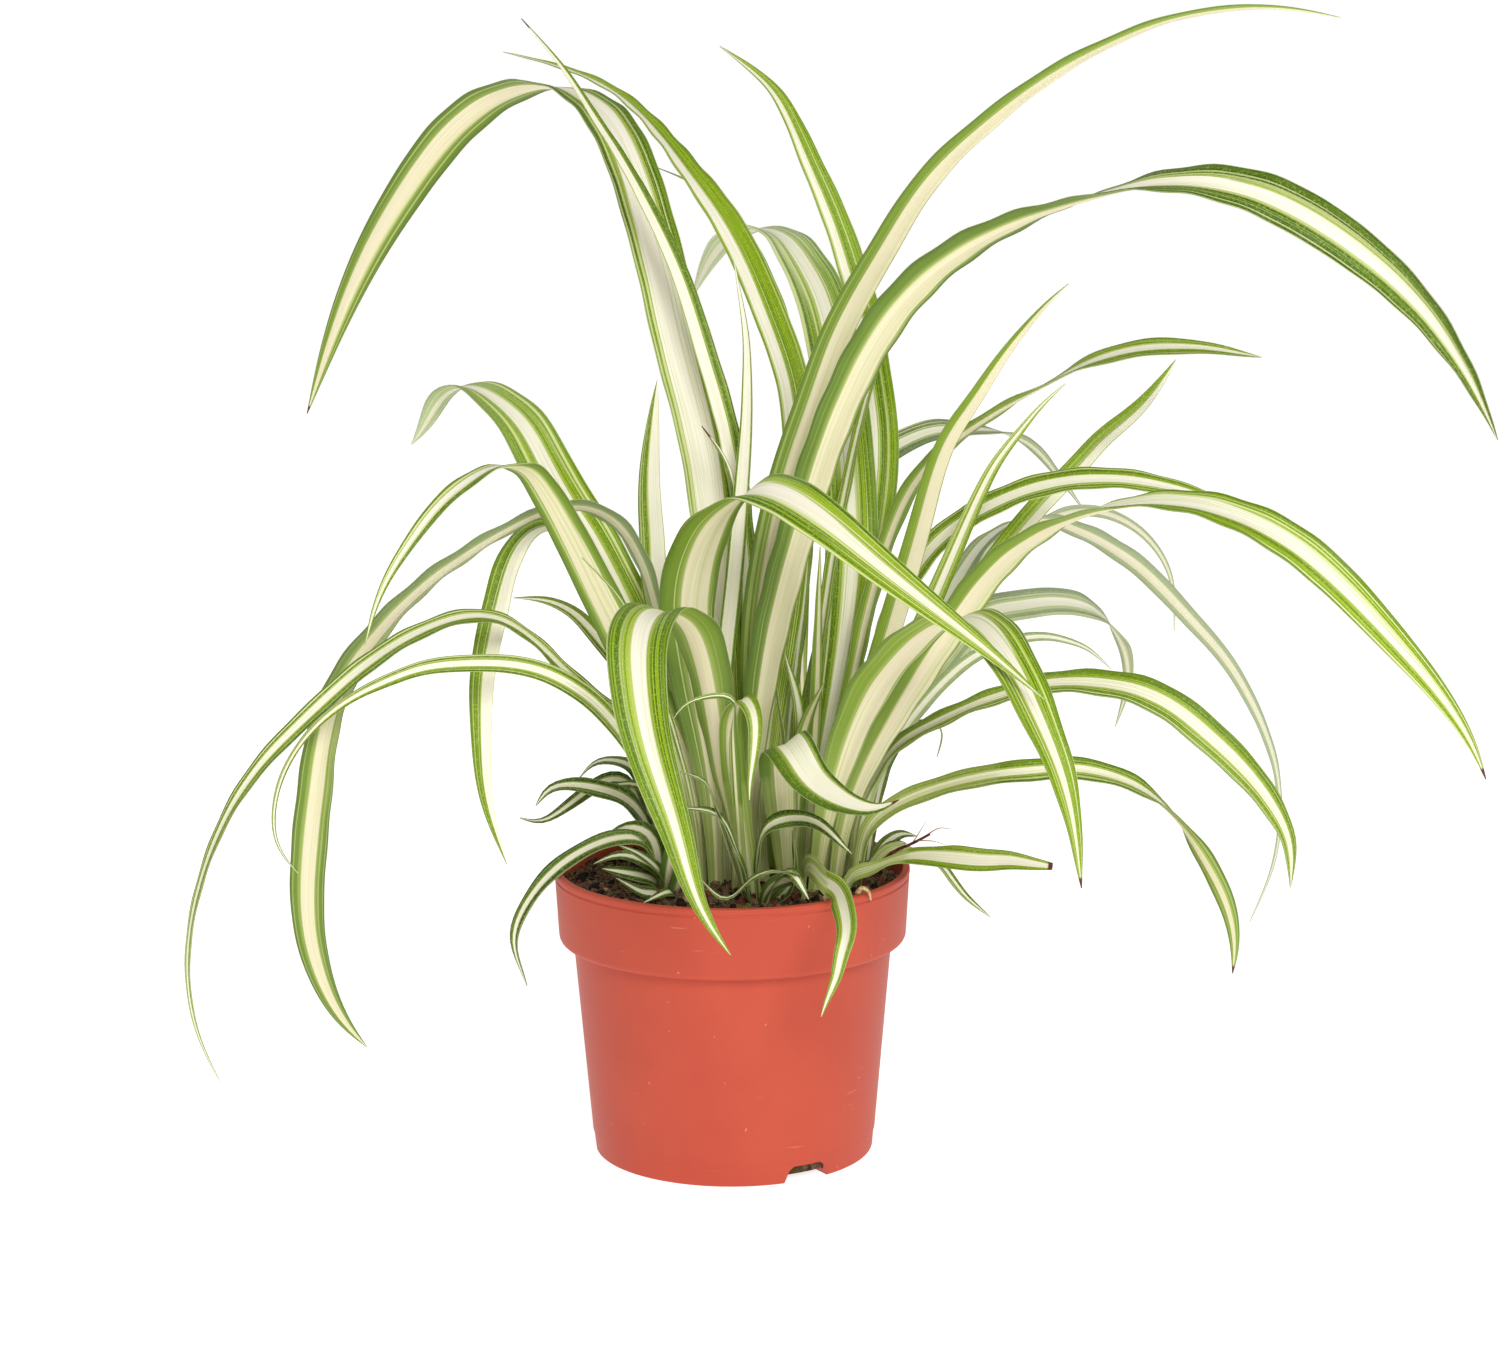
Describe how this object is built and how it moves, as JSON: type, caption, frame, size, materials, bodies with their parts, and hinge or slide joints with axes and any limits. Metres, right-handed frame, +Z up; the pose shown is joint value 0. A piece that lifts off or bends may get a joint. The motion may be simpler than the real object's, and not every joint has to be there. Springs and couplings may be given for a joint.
{
  "type": "potted spider plant",
  "caption": "Potted spider plant: long arching cream-and-green striped leaves and small young rosettes in a round tapered plastic grower's pot filled with soil.",
  "frame": {"origin": "middle of the pot's flat underside, where it meets what it stands on", "axes": "+Z up out of the pot; +Y away from the side seen from the front; +X to the right of that view"},
  "size_m": [0.404, 0.3232, 0.3833],
  "materials": {
    "pot": "smooth satin terracotta-red plastic",
    "soil": "rough crumbly brown potting soil",
    "leaf": "satin green leaf with a cream band along the middle",
    "young_leaf": "satin pale young leaf, cream and green",
    "dry_stalk": "dull dry brown stalk"
  },
  "bodies": {
    "root": {"pot": "pot", "soil": "soil", "leaf_tall_1": "leaf", "leaf_tall_2": "leaf", "leaf_tall_3": "leaf", "leaf_tall_4": "leaf", "leaf_tall_5": "leaf", "leaf_tall_6": "leaf", "leaf_tall_7": "leaf", "leaf_tall_8": "leaf", "leaf_tall_9": "leaf", "leaf_tall_10": "leaf", "leaf_tall_11": "leaf", "leaf_tall_12": "leaf", "leaf_right_1": "leaf", "leaf_right_2": "leaf", "leaf_right_3": "leaf", "leaf_right_4": "leaf", "leaf_right_5": "leaf", "leaf_right_6": "leaf", "leaf_right_7": "leaf", "leaf_right_8": "leaf", "leaf_right_9": "leaf", "leaf_right_10": "leaf", "leaf_right_11": "leaf", "leaf_right_12": "leaf", "leaf_right_13": "leaf", "leaf_right_14": "leaf", "leaf_right_15": "leaf", "leaf_right_16": "leaf", "leaf_right_17": "leaf", "leaf_left_1": "leaf", "leaf_left_2": "leaf", "leaf_left_3": "leaf", "leaf_left_4": "leaf", "leaf_left_5": "leaf", "leaf_left_6": "leaf", "leaf_left_7": "leaf", "leaf_left_8": "leaf", "leaf_front_1": "leaf", "leaf_front_2": "leaf", "leaf_front_3": "leaf", "leaf_front_4": "leaf", "leaf_front_5": "leaf", "leaf_back_1": "leaf", "leaf_back_2": "leaf", "leaf_back_3": "leaf", "leaf_heart_1": "leaf", "leaf_heart_2": "leaf", "leaf_heart_3": "leaf", "leaf_heart_4": "leaf", "rosette_left": "young_leaf", "rosette_front_left": "young_leaf", "rosette_front": "young_leaf", "rosette_right": "young_leaf", "dry_stalk": "dry_stalk"}
  },
  "joints": []
}
